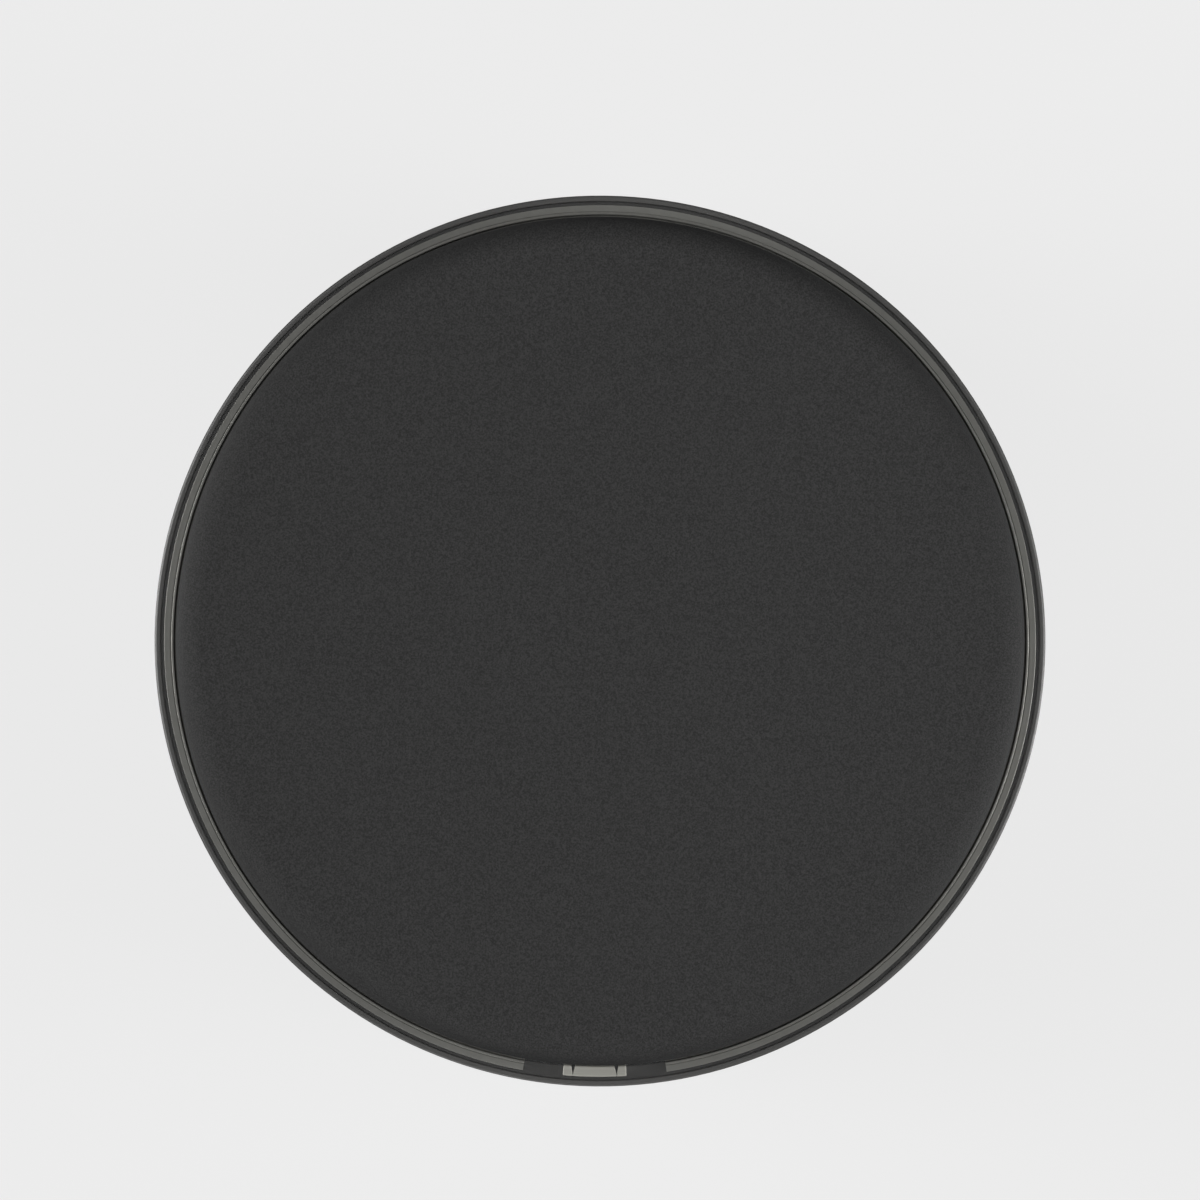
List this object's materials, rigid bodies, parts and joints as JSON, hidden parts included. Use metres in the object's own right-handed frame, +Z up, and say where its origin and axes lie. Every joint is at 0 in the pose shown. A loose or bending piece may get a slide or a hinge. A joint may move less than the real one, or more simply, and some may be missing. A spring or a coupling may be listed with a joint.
{
  "type": "french press",
  "caption": "Handle-less double-walled french press with a flush round lid, a pouring notch and a wide disc knob that pushes a mesh filter down.",
  "frame": {"origin": "centre of the foot, on the surface that it stands on", "axes": "+Z up along the plunger; the pouring notch faces -Y; +X to the right as seen from the notch side"},
  "size_m": [0.092, 0.092, 0.178],
  "materials": {
    "smoked_wall": "clear plastic tinted smoke brown, glossy",
    "clear_beaker": "clear, polished",
    "soft_black": "soft-touch coat, fine even grain",
    "matte_black": "moulded, matt",
    "satin_grey": "satin, slightly metallic grey",
    "black_silicone": "matt silicone",
    "black_acetal": "smooth, low sheen",
    "polished_steel": "polished stainless steel",
    "satin_steel": "satin stainless steel",
    "woven_steel": "fine woven stainless mesh",
    "turned_brass": "turned"
  },
  "bodies": {
    "vessel": {"outer_wall": "smoked_wall", "inner_beaker": "clear_beaker", "rim_seal": "black_silicone", "base_cap": "matte_black", "foot_ring": "black_silicone", "beaker_cushion": "black_silicone"},
    "lid_seal": {"lid_gasket": "black_silicone"},
    "lid": {"lid_collar": "satin_grey", "lid_plug": "matte_black", "pour_lip": "polished_steel", "rod_seal": "black_silicone"},
    "rod_guide": {"rod_bush": "black_acetal"},
    "plunger": {"knob_cap": "soft_black", "knob_base": "matte_black", "knob_insert": "turned_brass", "knob_screw_1": "satin_steel", "knob_screw_2": "satin_steel", "knob_screw_3": "satin_steel", "plunger_rod": "polished_steel", "filter_hub": "satin_steel", "spring_plate": "satin_steel", "filter_coil": "satin_steel", "filter_mesh": "woven_steel", "cross_plate": "satin_steel", "filter_nut": "satin_steel"}
  },
  "joints": [
    {"name": "lid_lift", "type": "slide", "parent": "vessel", "child": "lid_seal", "axis": [0, 0, 1], "range_m": [0, 0.15]},
    {"name": "lid_turn", "type": "hinge", "parent": "lid_seal", "child": "lid", "pos_m": [0, 0, 0.16], "axis": [0, 0, 1], "continuous": true},
    {"name": "plunger_turn", "type": "hinge", "parent": "lid", "child": "rod_guide", "pos_m": [0, 0, 0.16], "axis": [0, 0, 1], "continuous": true},
    {"name": "plunger_slide", "type": "slide", "parent": "rod_guide", "child": "plunger", "axis": [0, 0, 1], "range_m": [0, 0.115]}
  ]
}
